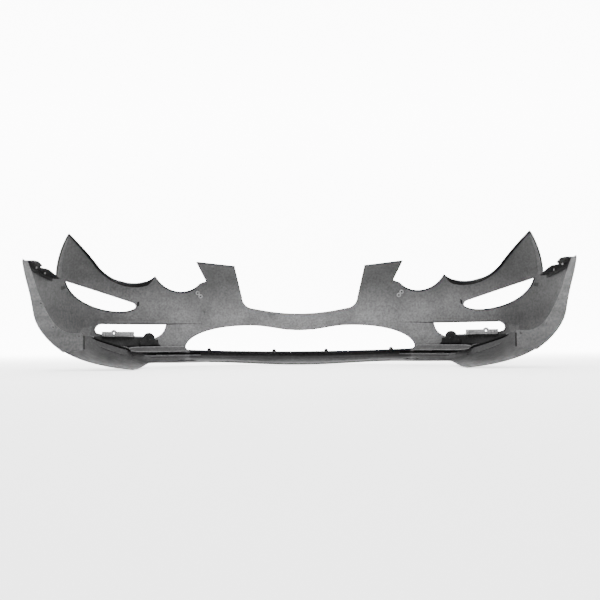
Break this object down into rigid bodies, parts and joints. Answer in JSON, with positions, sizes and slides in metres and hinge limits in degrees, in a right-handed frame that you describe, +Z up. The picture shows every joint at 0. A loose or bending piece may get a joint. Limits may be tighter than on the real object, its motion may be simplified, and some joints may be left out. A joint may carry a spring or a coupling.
{
  "type": "bumper cover",
  "caption": "Front bumper cover for a large saloon car, with its lower strip, arch closeouts, side retainers and lamp brackets.",
  "frame": {"origin": "under the middle of the cover, at the height of its lowest edge", "axes": "+X across the car towards its right-hand side, +Y to the nose, +Z up"},
  "size_m": [1.8444, 0.6413, 0.4851],
  "materials": {
    "skin_plastic": "matte",
    "strip_plastic": "matte",
    "panel_plastic": "matte",
    "dark_plastic": "matte",
    "light_plastic": "matte",
    "zinc_steel": "satin"
  },
  "bodies": {
    "root": {"fascia_skin": "skin_plastic", "lower_centre_strip": "strip_plastic", "lower_side_strip_left": "strip_plastic", "lower_side_strip_right": "strip_plastic", "arch_closeout_left": "panel_plastic", "arch_closeout_right": "panel_plastic", "side_retainer_left": "dark_plastic", "side_retainer_right": "dark_plastic", "fog_rail_left": "light_plastic", "fog_rail_right": "light_plastic", "fog_tab_left": "dark_plastic", "fog_tab_right": "dark_plastic", "fog_backing_left": "dark_plastic", "fog_backing_right": "dark_plastic", "headlamp_tab_left": "light_plastic", "headlamp_tab_right": "light_plastic", "strip_joiner_left": "panel_plastic", "strip_joiner_right": "panel_plastic", "intake_clips": "dark_plastic", "strip_push_pins": "dark_plastic", "grille_locating_lugs": "dark_plastic", "beam_locating_studs": "dark_plastic", "retainer_clip_nuts": "zinc_steel", "fog_rail_screws": "zinc_steel"}
  },
  "joints": []
}
